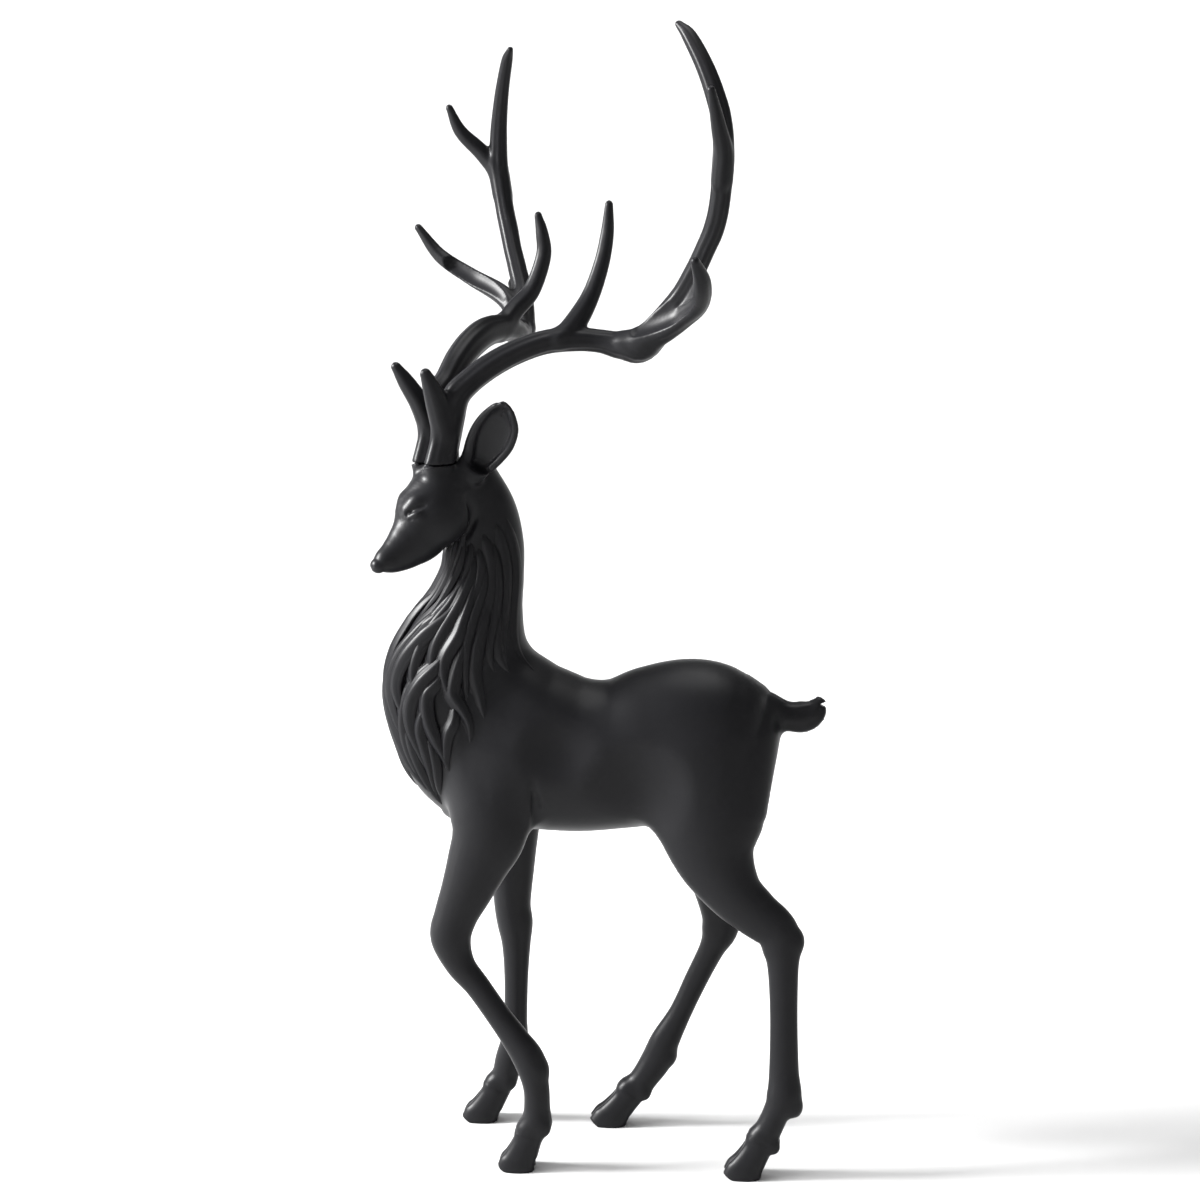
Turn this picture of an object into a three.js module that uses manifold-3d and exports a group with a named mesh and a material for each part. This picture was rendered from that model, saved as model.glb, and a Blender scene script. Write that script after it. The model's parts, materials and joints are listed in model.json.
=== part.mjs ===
// Reindeer statue cast in black resin. A walking deer turns its head to its left and carries two
// tall antlers, each a casting of its own that sits on a flat seat cut into the brow.
// Millimetres, +Z up. The deer faces -X, its left side faces -Y, and its four soles lie at Z = 0.

import * as THREE from 'three';
import { mergeVertices } from 'three/addons/utils/BufferGeometryUtils.js';
import Module from 'manifold-3d';

const wasm = await Module();
wasm.setup();

// Driving sizes
const statueHeight = 460; // from the soles to the tip of the left antler
const seatGap = 0.3; // left open between an antler and its seat
const baseOverhang = 0.6; // how far an antler's base stands past its seat
const cleftWidth = 1.4; // slot between the two toes of a hoof
const cleftDepth = 8; // how far the slot runs back from the tip of the toes
const cleftRise = 9; // how far the slot runs up the front of the hoof
const earHollow = 2.4; // how far the hollow of an ear is set towards its open face
const hollowShare = { wide: 0.74, deep: 0.85 }; // size of that hollow as a share of the ear
const seatRise = 1.6; // height of the seats of the antlers over the crown of the head
const lockWidth = 8; // widest part of a lock of the mane
const lockThickness = 4.6; // thickness of a lock where it is widest
const headTurn = 38; // degrees from straight ahead towards the deer's left
const rightForkShare = 0.944; // the right antler over its fork, as a share of the left one

// The stations of the figure are millimetres on a statue of this height, and follow statueHeight.
const drawnHeight = 460;
const size = statueHeight / drawnHeight;

// Every station is [x, y, z, half width across, half depth] along the middle of a limb.
const trunk = [
  [-50, 0, 173.5, 19, 26],
  [-38, 0, 174.5, 23.5, 35.5],
  [-22, 0, 171.2, 25, 34],
  [-6, 0, 168.8, 24.5, 31.8],
  [10, 0, 169.6, 24, 30.8],
  [26, 0, 173.3, 25, 33],
  [42, 0, 176.2, 25, 33],
  [56, 0, 175.5, 22.5, 29.5],
  [67, 0, 173.5, 17, 22],
];
const withers = [
  [-46, 0, 224, 11, 13],
  [-38, 0, 208, 14, 12.5],
  [-25, 0, 195, 17, 11],
  [-12, 0, 190, 17, 10],
];
const neck = [
  [-50, 0, 284, 9.5, 10],
  [-46.3, 0, 269.5, 12.5, 14.2],
  [-44.6, 0, 256, 13.5, 15.7],
  [-44.6, 0, 243.5, 14.5, 15.8],
  [-47.5, 0, 230.5, 16.3, 18.2],
  [-53, 0, 214.5, 19, 23.4],
  [-56.6, 0, 197.5, 21, 27.2],
  [-55, 0, 179.5, 21.5, 26.2],
  [-51.7, 0, 164.5, 19, 24.2],
  [-47, 0, 151, 14, 17.6],
];
const tail = [
  [55, 0, 189, 8, 10],
  [67, 0, 189.5, 5.6, 7.6],
  [77, 0, 186.6, 5, 6.2],
  [84, 0, 186, 4.8, 6],
  [89, 0, 188.2, 3.8, 4.8],
  [92, 0, 192, 1.8, 2.4],
];
const legs = {
  leftFore: [
    [-37, -12, 169.5, 10, 18],
    [-40.5, -16, 153.5, 11, 17],
    [-41.5, -18.5, 139.5, 9.6, 15.2],
    [-46, -19.5, 127.5, 8.4, 12.6],
    [-50.4, -20, 116.5, 7.6, 10.6],
    [-55, -20.5, 105.5, 6.8, 8.9],
    [-57, -21, 96.5, 6.6, 8.4],
    [-53.3, -21.5, 85.5, 5, 6.2],
    [-46.1, -22, 76.4, 4.3, 5.2],
    [-37.4, -23, 64.4, 4.2, 5.1],
    [-30.4, -24, 55, 4.6, 5.7],
    [-24.6, -24.5, 46, 5.4, 6.5],
    [-22, -25, 35.4, 4.7, 5.4],
    [-21.6, -25, 26.4, 4.7, 5.4],
    [-22, -25, 20, 5.4, 6.2],
    [-24.5, -25, 13.5, 5, 5.6],
    [-26.6, -25, 6, 6, 6.6],
    [-29, -25, -1, 6.8, 8.6],
  ],
  rightFore: [
    [-36, 12, 167.5, 10, 17],
    [-37, 16, 147.5, 10, 14.5],
    [-37, 18, 131.5, 9, 11.8],
    [-36.8, 20, 113.5, 7.6, 9.2],
    [-37, 21, 98.5, 6.6, 7.8],
    [-36, 21.5, 89.5, 6.3, 7.6],
    [-35.6, 22, 79, 4.9, 6],
    [-35.8, 22.5, 64.5, 4.2, 5.1],
    [-36.2, 23, 47.5, 4.2, 5],
    [-36.7, 24, 38, 4.8, 5.6],
    [-38.9, 24.5, 28, 5.2, 6.3],
    [-41.2, 25, 20.5, 5, 5.6],
    [-44, 25, 13.5, 4.9, 5.3],
    [-47.4, 25, 6.5, 6, 6.4],
    [-51, 25, -1, 6.8, 8.7],
  ],
  leftHind: [
    [44, -10, 171.5, 12, 29],
    [48, -14.5, 156.5, 12.5, 26.4],
    [48, -17, 144.5, 11.5, 21.2],
    [50.4, -18.5, 130.5, 9.6, 16],
    [57.6, -20, 118.5, 8, 11.8],
    [66, -21, 110.5, 6.8, 10],
    [75, -21.5, 103.5, 6, 9.4],
    [77.2, -22, 95, 5.4, 7.6],
    [77.8, -22.5, 87, 4.7, 6.2],
    [78.3, -23, 69, 4.3, 5.6],
    [78.7, -24, 46, 4.6, 6],
    [78.8, -25, 34.4, 5.4, 7.1],
    [75.6, -25, 27, 4.9, 5.6],
    [72.3, -25, 20, 5.3, 6.3],
    [69.6, -25, 13, 5.2, 6],
    [66.6, -25, 6.5, 6, 6.6],
    [63.4, -25, -1, 6.8, 8.6],
  ],
  rightHind: [
    [44, 10, 169.5, 12, 25],
    [45, 14, 149.5, 12, 20],
    [46.4, 17, 129.5, 10.2, 15.4],
    [49.4, 19.5, 111.5, 8.2, 11.2],
    [51.4, 21, 96.5, 6.6, 8.6],
    [50.4, 21.5, 88, 6, 7.5],
    [47.2, 22, 80, 4.8, 5.4],
    [40.7, 23, 66, 4.1, 4.9],
    [34.3, 23.5, 51.5, 4.2, 4.8],
    [27.8, 24, 38.5, 4.9, 6.2],
    [24.2, 25, 29.5, 5.1, 6.3],
    [19.4, 25, 22, 4.5, 5],
    [15, 25, 15.4, 5.1, 5.6],
    [11.8, 25, 10.4, 5.2, 5.6],
    [8, 25, 5, 6, 6.2],
    [4.2, 25, -1, 6.8, 8.6],
  ],
};

// The head and the antlers are laid out from the crown of the head: forward, to the left, up.
const crown = new THREE.Vector3(-58, -8, 287.4).multiplyScalar(size);
const turn = THREE.MathUtils.degToRad(headTurn);
const headForward = new THREE.Vector3(-Math.cos(turn), -Math.sin(turn), 0);
const headLeft = new THREE.Vector3(Math.sin(turn), -Math.cos(turn), 0);
const upward = new THREE.Vector3(0, 0, 1);

// Stations from the crown are [forward, left, up, half width across, half depth].
const skull = [
  [-10, 0, -11, 11, 12],
  [-3, 0, -11, 12.8, 14.6],
  [4, 0, -13.2, 13, 15.8],
  [12.8, 0, -23.2, 11.6, 12.2],
  [19.5, 0, -29.5, 8, 9],
  [27.2, 0, -36.6, 5.4, 5.3],
];
const ear = [
  [-5, 9.5, -3, 5, 4],
  [-7.1, 11.5, 2.4, 5.9, 4],
  [-8.2, 14.5, 7.4, 7.4, 3.8],
  [-9.1, 18.5, 12.8, 8.2, 3.5],
  [-10, 22.5, 19, 7, 3],
  [-9.4, 26.5, 24.4, 3.6, 2],
  [-8.7, 28.3, 27, 1.2, 0.8],
];
const forkUp = 50; // height of the outer fork of both antlers over the crown
const pedicle = [
  [2, 4, -8, 6, 7],
  [6.2, 5, 0, 4.6, 6.7],
  [6.9, 5, 4, 4.6, 6.7],
];
const beam = [
  [6.9, 5, 0, 4.6, 6.7],
  [4.4, 5, 8.8, 4.5, 6.5],
  [2, 5.2, 19, 4.6, 6.4],
  [-0.3, 6.6, 28.2, 4.8, 5.7],
  [-5.1, 8.5, 33.8, 4.8, 5.2],
  [-13, 11.5, 40, 4.8, 5.1],
  [-22.6, 15.5, 45.4, 4.7, 5],
  [-32.9, 20.5, 49.2, 4.6, 4.9],
  [-43.4, 26, 50.3, 4.6, 4.9],
  [-51.6, 31.5, 49.5, 4.5, 4.7],
  [-57.7, 38, 48, 5, 5.6],
  [-63.8, 45.5, 49.2, 5.8, 6.8],
  [-71.6, 56, 65.4, 4.2, 4.5],
  [-74, 63.5, 76.2, 4, 4.2],
  [-75, 69.5, 85.4, 3.9, 4.1],
  [-75.8, 74.5, 94, 4, 4.2],
  [-75.2, 79, 104.6, 4, 4.1],
  [-73.8, 83, 122, 4.1, 4.2],
  [-73.4, 82, 134.1, 3.8, 3.9],
  [-72.6, 79, 143.4, 3.4, 3.6],
  [-71.2, 74, 154.2, 2.8, 3],
  [-69.4, 66.5, 165.8, 2.1, 2.3],
  [-67.8, 61.2, 171, 0.9, 1],
];

// The web that joins the beam to the root of its outer tine
const palm = [
  [-62.5, 45, 50, 5, 4],
  [-67.8, 55.5, 60, 6.4, 2.6],
  [-70.2, 63.5, 67, 7, 2],
  [-71, 70, 73.5, 6, 1.4],
];

// The two antlers are a pair, but each tine has its own sweep. From the brow upwards:
const tines = {
  left: [
    [
      [4.4, 5.4, 14, 4.2, 4.8],
      [8, 6.6, 26, 3.8, 4.2],
      [12, 8.1, 34.2, 2.8, 3.1],
      [15, 9, 39.4, 1.3, 1.5],
    ],
    [
      [-37.5, 24.4, 50.5, 3.4, 4],
      [-44.6, 25, 57, 3.8, 4.6],
      [-51.4, 25.4, 67.5, 3.1, 3.4],
      [-56.2, 25.8, 80, 2.6, 2.8],
      [-58.5, 26.2, 91.5, 2, 2.2],
      [-58.8, 27, 104, 0.8, 0.9],
    ],
    [
      [-59, 40, 48.6, 4.6, 5.2],
      [-65.8, 53, 53.4, 4.3, 4.5],
      [-69.2, 64, 59.9, 4, 4.1],
      [-69.2, 74, 65.8, 3.7, 3.9],
      [-63.4, 84, 74, 3.1, 3.3],
      [-55.6, 91.4, 82.4, 1.3, 1.5],
    ],
    [
      [-73, 82.6, 112, 3.2, 3.4],
      [-71.6, 85.6, 122, 3.2, 3.3],
      [-67.6, 88.2, 131, 2.6, 2.7],
      [-60, 93.4, 143, 1, 1.1],
    ],
  ],
  right: [
    [
      [4.4, 5.4, 14, 4.2, 4.8],
      [9, 6.2, 25, 3.8, 4],
      [14, 8, 34, 2.9, 3.1],
      [18.2, 9.4, 40.6, 1.3, 1.5],
    ],
    [
      [-38.5, 25, 51, 3.6, 4.2],
      [-49, 28, 60, 3.6, 4],
      [-57.4, 27, 68.5, 3.1, 3.3],
      [-62.6, 26, 83, 2.6, 2.8],
      [-62, 26.4, 93, 2, 2.2],
      [-60, 27, 101.5, 0.8, 0.9],
    ],
    [
      [-64, 45, 53, 4.4, 4.6],
      [-62, 57, 66.5, 4.2, 4.3],
      [-53.4, 74, 75.1, 3.3, 3.4],
      [-45.5, 86, 83, 2.5, 2.7],
      [-37.8, 94.4, 96, 0.9, 1],
    ],
    [
      [-75, 81.6, 113, 3.6, 3.8],
      [-74, 84.4, 122, 3.7, 4],
      [-68.4, 87.2, 131.4, 3.1, 3.3],
      [-59.9, 91, 140.4, 2.3, 2.5],
      [-54, 93.8, 149.6, 0.9, 1],
    ],
  ],
};

// The mane hangs in rows of locks. Each row is [place along the neck, number of locks, reach to
// each side in degrees from the middle of the throat, length as a share of the neck].
const maneRows = [
  [0.22, 4, 70, 0.24],
  [0.34, 5, 96, 0.26],
  [0.46, 6, 110, 0.26],
  [0.58, 6, 104, 0.25],
  [0.7, 5, 84, 0.22],
];
const lockSweep = 0.78; // a lock's tip is this much nearer to the throat line than its root

const vector = (x, y, z) => new THREE.Vector3(x, y, z);

function toSolid(geometry) {
  geometry.deleteAttribute('normal');
  geometry.deleteAttribute('uv');
  const merged = mergeVertices(geometry);
  const index = merged.index.array;
  const triangles = [];
  for (let i = 0; i < index.length; i += 3) {
    const [a, b, c] = index.slice(i, i + 3);
    if (a !== b && b !== c && c !== a) triangles.push(a, b, c);
  }
  const mesh = new wasm.Mesh({
    numProp: 3,
    vertProperties: new Float32Array(merged.attributes.position.array),
    triVerts: new Uint32Array(triangles),
  });
  return new wasm.Manifold(mesh);
}

function toMesh(name, solid, material) {
  const { vertProperties, triVerts } = solid.getMesh();
  const geometry = new THREE.BufferGeometry();
  geometry.setAttribute('position', new THREE.BufferAttribute(vertProperties, 3));
  geometry.setIndex(new THREE.BufferAttribute(triVerts, 1));
  geometry.computeVertexNormals();
  const mesh = new THREE.Mesh(geometry, material);
  mesh.name = name;
  return mesh;
}

// The middle line of a limb and its two half sizes, as smooth curves through its stations
function spineOf(stations) {
  const middle = stations.map(([x, y, z]) => vector(x, y, z).multiplyScalar(size));
  const halves = stations.map(([, , , wide, deep]) => vector(wide, deep, 0).multiplyScalar(size));
  const path = new THREE.CatmullRomCurve3(middle, false, 'centripetal');
  const section = new THREE.CatmullRomCurve3(halves, false, 'catmullrom', 0.5);
  return { path, section };
}

// The frame at a place on a spine: along it, across it, and square to both
function frameAt(spine, place, across) {
  const along = spine.path.getTangent(place);
  const side = across.clone().projectOnPlane(along).normalize();
  const front = side.clone().cross(along);
  const half = spine.section.getPoint(place);
  return { middle: spine.path.getPoint(place), along, side, front, wide: half.x, deep: half.y };
}

// A rounded skin over a spine: a capsule, bent and swelled to follow the stations
function limb(stations, { across = vector(0, 1, 0), sides = 10, rows = 2, cap = 0.7, capRows = 2 } = {}) {
  const spine = spineOf(stations);
  const skin = new THREE.CapsuleGeometry(1, 1, capRows, sides, rows * (stations.length - 1));
  const position = skin.attributes.position;
  for (let i = 0; i < position.count; i += 1) {
    const height = position.getY(i) + 0.5;
    const place = THREE.MathUtils.clamp(height, 0, 1);
    const { middle, along, side, front, wide, deep } = frameAt(spine, place, across);
    middle.addScaledVector(along, (height - place) * cap * Math.min(wide, deep));
    middle.addScaledVector(side, position.getX(i) * wide);
    middle.addScaledVector(front, position.getZ(i) * deep);
    position.setXYZ(i, middle.x, middle.y, middle.z);
  }
  return toSolid(skin);
}

const join = (solids) => solids.reduce((whole, solid) => whole.add(solid));

// A box given by its two corners
function block(low, high) {
  const sizes = high.clone().sub(low);
  const box = new THREE.BoxGeometry(sizes.x, sizes.y, sizes.z);
  box.translate((low.x + high.x) / 2, (low.y + high.y) / 2, (low.z + high.z) / 2);
  return toSolid(box);
}

// Stations from the crown, turned with the head; side is 1 on the deer's left and -1 on its right
function fromCrown(stations, side = 1) {
  return stations.map(([forward, left, up, wide, deep]) => {
    const overFork = Math.max(0, up - forkUp);
    const point = crown.clone().divideScalar(size)
      .addScaledVector(headForward, forward)
      .addScaledVector(headLeft, left * side)
      .addScaledVector(upward, side > 0 ? up : up - overFork * (1 - rightForkShare));
    return [point.x, point.y, point.z, wide, deep];
  });
}

// A direction in the head's own frame
function headDirection(forward, left, up) {
  return vector(0, 0, 0)
    .addScaledVector(headForward, forward)
    .addScaledVector(headLeft, left)
    .addScaledVector(upward, up);
}

// A pointed leaf, and a smaller one that hollows out the face it turns forward and outward
function makeEar(side) {
  const across = headDirection(-0.7, 0.55 * side, -0.47);
  const facing = headDirection(0.71, 0.59 * side, -0.39).multiplyScalar(earHollow / size);
  const leaf = limb(fromCrown(ear, side), { across, sides: 10, rows: 1 });
  const hollow = fromCrown(ear.slice(2, -1), side).map(([x, y, z, wide, deep]) => [
    x + facing.x, y + facing.y, z + facing.z, wide * hollowShare.wide, deep * hollowShare.deep,
  ]);
  return leaf.subtract(limb(hollow, { across, sides: 8, rows: 1 }));
}

// One lock: a tapered tongue that leaves the neck, hangs over its surface and ends in a point
function makeLock(spine, row, turnFromThroat) {
  const [start, , , length] = row;
  // Each entry is [place along the lock, rise off the neck, half size]. The rise is a share of the
  // thickness, and the half size is a share of both the width and the thickness.
  const shape = [
    [0, -0.45, 0.3],
    [0.28, 0.1, 0.5],
    [0.56, 0.22, 0.46],
    [0.8, 0.2, 0.3],
    [1, 0.1, 0.08],
  ];
  const stations = shape.map(([share, lift, half]) => {
    const drawn = turnFromThroat * (1 - (1 - lockSweep) * share);
    const { middle, side, front, wide, deep } = frameAt(spine, start + length * share, vector(0, 1, 0));
    const rise = lift * lockThickness;
    middle.addScaledVector(side, Math.sin(drawn) * (wide + rise));
    middle.addScaledVector(front, Math.cos(drawn) * (deep + rise));
    return [...middle.toArray(), half * lockWidth, half * lockThickness].map((value) => value / size);
  });
  const across = vector(Math.sin(turnFromThroat), Math.cos(turnFromThroat), 0);
  return limb(stations, { across, sides: 5, rows: 1, cap: 1.4, capRows: 1 });
}

function makeMane() {
  const spine = spineOf(neck);
  const locks = [];
  for (const row of maneRows) {
    const [, count, reach] = row;
    for (let i = 0; i < count; i += 1) {
      const degrees = reach * ((2 * i) / (count - 1) - 1);
      locks.push(makeLock(spine, row, THREE.MathUtils.degToRad(degrees)));
    }
  }
  return join(locks);
}

// A leg with the slot that parts the two toes of its hoof
function makeLeg(stations) {
  const leg = limb(stations, { sides: 10, rows: 1, cap: 0.2 });
  const [x, y, z, , deep] = stations.at(-1).map((value) => value * size);
  const toe = x - deep;
  const low = vector(toe - cleftDepth, y - cleftWidth / 2, z - cleftRise);
  return leg.subtract(block(low, vector(toe + cleftDepth, y + cleftWidth / 2, cleftRise)));
}

// All space under a height
function allBelow(height) {
  const reach = statueHeight;
  return block(vector(-reach, -reach, -reach), vector(reach, reach, height));
}

// The seats of the antlers lie in one level plane. Over it, each antler needs its own room.
const seatHeight = crown.z + seatRise * size;

function antlerRoom(side) {
  const clear = (seatGap * 1.5) / size;
  const root = beam.slice(0, 5).map(([forward, left, up, wide, deep]) => [
    forward, left, up, wide + clear, deep + clear,
  ]);
  return limb(fromCrown(root, side), { across: headLeft, sides: 16, rows: 1, cap: 0 })
    .subtract(allBelow(seatHeight));
}

function makeBody() {
  const pedicles = [1, -1].map((side) => limb(
    fromCrown(pedicle, side).map(([x, y, z, wide, deep]) => [
      x, y, z, wide - baseOverhang / size, deep - baseOverhang / size,
    ]),
    { across: headLeft, sides: 16, rows: 1 },
  ));
  const head = join([
    limb(fromCrown(skull), { across: headLeft, sides: 14, rows: 2, cap: 1.3 }),
    ...pedicles,
    makeEar(1),
    makeEar(-1),
  ]).subtract(antlerRoom(1)).subtract(antlerRoom(-1));
  return join([
    limb(trunk, { sides: 16, rows: 2, cap: 0.4 }),
    limb(withers, { sides: 12, rows: 1, cap: 0.4 }),
    limb(neck, { sides: 14, rows: 2, cap: 0.7 }),
    limb(tail, { sides: 8, rows: 1, cap: 0.8 }),
    ...Object.values(legs).map(makeLeg),
    makeMane(),
    head,
  ]).subtract(allBelow(0));
}

function makeAntler(side) {
  const ownTines = side > 0 ? tines.left : tines.right;
  const acrossPalm = headDirection(0.1, 0.79 * side, -0.61);
  const parts = [
    limb(fromCrown(beam, side), { across: headLeft, sides: 8, rows: 1, cap: 1 }),
    limb(fromCrown(palm, side), { across: acrossPalm, sides: 8, rows: 1 }),
    ...ownTines.map((stations) =>
      limb(fromCrown(stations, side), { across: headLeft, sides: 7, rows: 2, cap: 1.4, capRows: 1 })),
  ];
  return join(parts).subtract(allBelow(seatHeight + seatGap));
}

const resin = new THREE.MeshStandardMaterial({ color: 0x1d1e20, roughness: 0.55, metalness: 0 });

const statue = new THREE.Group();
statue.name = 'resin_reindeer_statue';
statue.add(toMesh('deer_body', makeBody(), resin.clone()));
statue.add(toMesh('left_antler', makeAntler(1), resin.clone()));
statue.add(toMesh('right_antler', makeAntler(-1), resin.clone()));

// The origin is on the floor under the middle of the whole statue
const bounds = new THREE.Box3().setFromObject(statue);
const centre = bounds.getCenter(vector(0, 0, 0));
statue.children.forEach((mesh) => mesh.geometry.translate(-centre.x, -centre.y, 0));

export default statue;
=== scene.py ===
import json
import math
import bmesh
import bpy
import numpy as np
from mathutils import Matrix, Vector


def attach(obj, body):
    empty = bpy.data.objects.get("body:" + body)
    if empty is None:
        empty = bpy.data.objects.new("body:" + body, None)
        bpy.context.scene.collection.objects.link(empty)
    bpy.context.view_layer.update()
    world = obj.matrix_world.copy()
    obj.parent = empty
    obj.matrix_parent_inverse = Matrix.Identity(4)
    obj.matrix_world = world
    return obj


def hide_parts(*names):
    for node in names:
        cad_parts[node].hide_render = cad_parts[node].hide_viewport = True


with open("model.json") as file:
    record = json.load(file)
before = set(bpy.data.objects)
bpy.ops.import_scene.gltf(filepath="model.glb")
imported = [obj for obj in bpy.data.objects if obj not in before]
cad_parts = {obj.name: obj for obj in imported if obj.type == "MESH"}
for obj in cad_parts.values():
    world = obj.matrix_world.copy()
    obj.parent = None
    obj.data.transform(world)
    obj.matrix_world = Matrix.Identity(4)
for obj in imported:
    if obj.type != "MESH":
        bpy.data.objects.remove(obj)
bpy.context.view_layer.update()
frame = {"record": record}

millimetre = 0.001
farAway = 1000.0  # field value where no shape reaches


def unit(rows):
    rows = np.asarray(rows, float)
    return rows / np.maximum(np.linalg.norm(rows, axis=-1, keepdims=True), 1e-9)


# A smooth curve through every row, with the given number of steps between two rows
def smoothRows(rows, steps):
    rows = np.asarray(rows, float)
    padded = np.vstack([2 * rows[0] - rows[1], rows, 2 * rows[-1] - rows[-2]])
    out = []
    for i in range(1, len(padded) - 2):
        a, b, c, d = padded[i - 1:i + 3]
        for t in np.arange(steps) / steps:
            out.append(0.5 * (2 * b + (c - a) * t + (2 * a - 5 * b + 4 * c - d) * t ** 2
                              + (3 * b - a - 3 * c + d) * t ** 3))
    out.append(rows[-1])
    return np.array(out)


# A rounded limb through stations [x, y, z, half width across, half depth]
def tube(stations, across=(0, 1, 0), blend=4.0, cap=0.7, steps=6, carve=False, flutes=None):
    rows = smoothRows(stations, steps)
    middle = rows[:, :3]
    half = np.maximum(rows[:, 3:5], 0.3)
    along = unit(np.gradient(middle, axis=0))
    wanted = np.broadcast_to(np.asarray(across, float), along.shape)
    side = unit(wanted - along * (wanted * along).sum(1)[:, None])
    front = np.cross(side, along)
    reach = half.max(axis=1, keepdims=True) + blend + 3.0
    return {"middle": middle, "half": half, "along": along, "side": side, "front": front,
            "cap": cap, "blend": blend, "carve": carve, "flutes": flutes,
            "low": (middle - reach).min(0), "high": (middle + reach).max(0)}


# A bulge or, with carve, a hollow: an egg with three half sizes along its own three axes
def ball(centre, radii, axes=None, blend=4.0, carve=False):
    centre = np.asarray(centre, float)
    reach = max(radii) + blend + 3.0
    return {"centre": centre, "radii": np.asarray(radii, float), "blend": blend, "carve": carve,
            "axes": unit(np.eye(3) if axes is None else axes),
            "low": centre - reach, "high": centre + reach}


# Where on a line of points each loose point is nearest: first to every fourth point of the line,
# then along the pieces next to that one
def nearestPlace(middle, points, skip=4):
    coarse = middle[::skip]
    squared = (coarse ** 2).sum(1)[None, :] - 2 * points @ coarse.T
    last = len(middle) - 2
    start = squared.argmin(1) * skip - skip
    nearest = np.full(len(points), np.inf)
    place = np.zeros(len(points))
    steps = np.diff(middle, axis=0)
    lengths = (steps ** 2).sum(1)
    for k in range(2 * skip):
        i = np.clip(start + k, 0, last)
        offset = points - middle[i]
        t = np.clip((offset * steps[i]).sum(1) / lengths[i], 0, 1)
        squared = ((offset - t[:, None] * steps[i]) ** 2).sum(1)
        closer = squared < nearest
        nearest[closer] = squared[closer]
        place[closer] = (i + t)[closer]
    return place


def distanceTo(shape, points, detail):
    if "centre" in shape:
        offset = points - shape["centre"]
        local = offset @ shape["axes"].T / shape["radii"]
        ratio = np.sqrt((local ** 2).sum(1)) + 1e-6
        length = np.sqrt((offset ** 2).sum(1)) + 1e-6
        return length * (1 - 1 / ratio)
    place = nearestPlace(shape["middle"], points)
    i = np.minimum(place.astype(int), len(shape["middle"]) - 2)
    t = (place - i)[:, None]

    def between(key):
        return shape[key][i] * (1 - t) + shape[key][i + 1] * t

    offset = points - between("middle")
    half = between("half")
    wide = (offset * between("side")).sum(1) / half[:, 0]
    deep = (offset * between("front")).sum(1) / half[:, 1]
    over = (offset * between("along")).sum(1) / (shape["cap"] * half.min(1))
    ratio = np.sqrt(wide ** 2 + deep ** 2 + over ** 2) + 1e-6
    length = np.sqrt((offset ** 2).sum(1)) + 1e-6
    value = length * (1 - 1 / ratio)
    if detail and shape["flutes"]:
        count, depth, phase = shape["flutes"]
        angle = np.arctan2(deep, wide)
        share = np.clip(half.min(1) / 4.0, 0.2, 1.0)
        value = value + depth * share * (0.5 + 0.5 * np.cos(count * angle + phase)) ** 2
    return value


def smoothMin(a, b, blend):
    share = np.clip(0.5 + 0.5 * (b - a) / blend, 0, 1)
    return b * (1 - share) + a * share - blend * share * (1 - share)


def addShape(shape, old, points, detail):
    value = distanceTo(shape, points, detail)
    if shape["carve"]:
        return -smoothMin(-old, value, shape["blend"])
    return smoothMin(old, value, shape["blend"])


# The field at loose points; everything under the height floorAt is left out
def fieldAt(shapes, points, floorAt, detail=True):
    value = np.full(len(points), farAway)
    for shape in shapes:
        near = np.flatnonzero(np.all((points > shape["low"]) & (points < shape["high"]), axis=1))
        if len(near):
            value[near] = addShape(shape, value[near], points[near], detail)
    return np.maximum(value, floorAt - points[:, 2])


# The field on a grid: coarse first, then fine only where the surface can be
def fieldGrid(shapes, cell, floorAt, skip=4):
    solid = [shape for shape in shapes if not shape["carve"]]
    low = np.min([shape["low"] for shape in solid], axis=0)
    high = np.max([shape["high"] for shape in solid], axis=0)
    low[2] = max(low[2], floorAt - 2.5 * cell)
    counts = np.ceil((high - low) / (cell * skip)).astype(int)
    coarseAxes = [low[k] + cell * skip * np.arange(counts[k] + 1) for k in range(3)]
    axes = [low[k] + cell * np.arange(counts[k] * skip + 1) for k in range(3)]
    grid = np.stack(np.meshgrid(*coarseAxes, indexing="ij"), -1)
    coarse = fieldAt(shapes, grid.reshape(-1, 3), floorAt, False).reshape(grid.shape[:3])
    value = coarse[:-1, :-1, :-1].repeat(skip, 0).repeat(skip, 1).repeat(skip, 2)
    value = np.pad(value, ((0, 1),) * 3, mode="edge")
    close = np.abs(coarse) < 1.9 * cell * skip
    near = np.zeros([n - 1 for n in close.shape], bool)
    for x in (0, 1):
        for y in (0, 1):
            for z in (0, 1):
                near |= close[x:x + near.shape[0], y:y + near.shape[1], z:z + near.shape[2]]
    near = np.pad(near.repeat(skip, 0).repeat(skip, 1).repeat(skip, 2), ((0, 1),) * 3)
    near[1:] |= near[:-1]
    near[:, 1:] |= near[:, :-1]
    near[:, :, 1:] |= near[:, :, :-1]
    chosen = np.argwhere(near)
    value[near] = fieldAt(shapes, low + chosen * cell, floorAt, False)
    return value, axes


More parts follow.
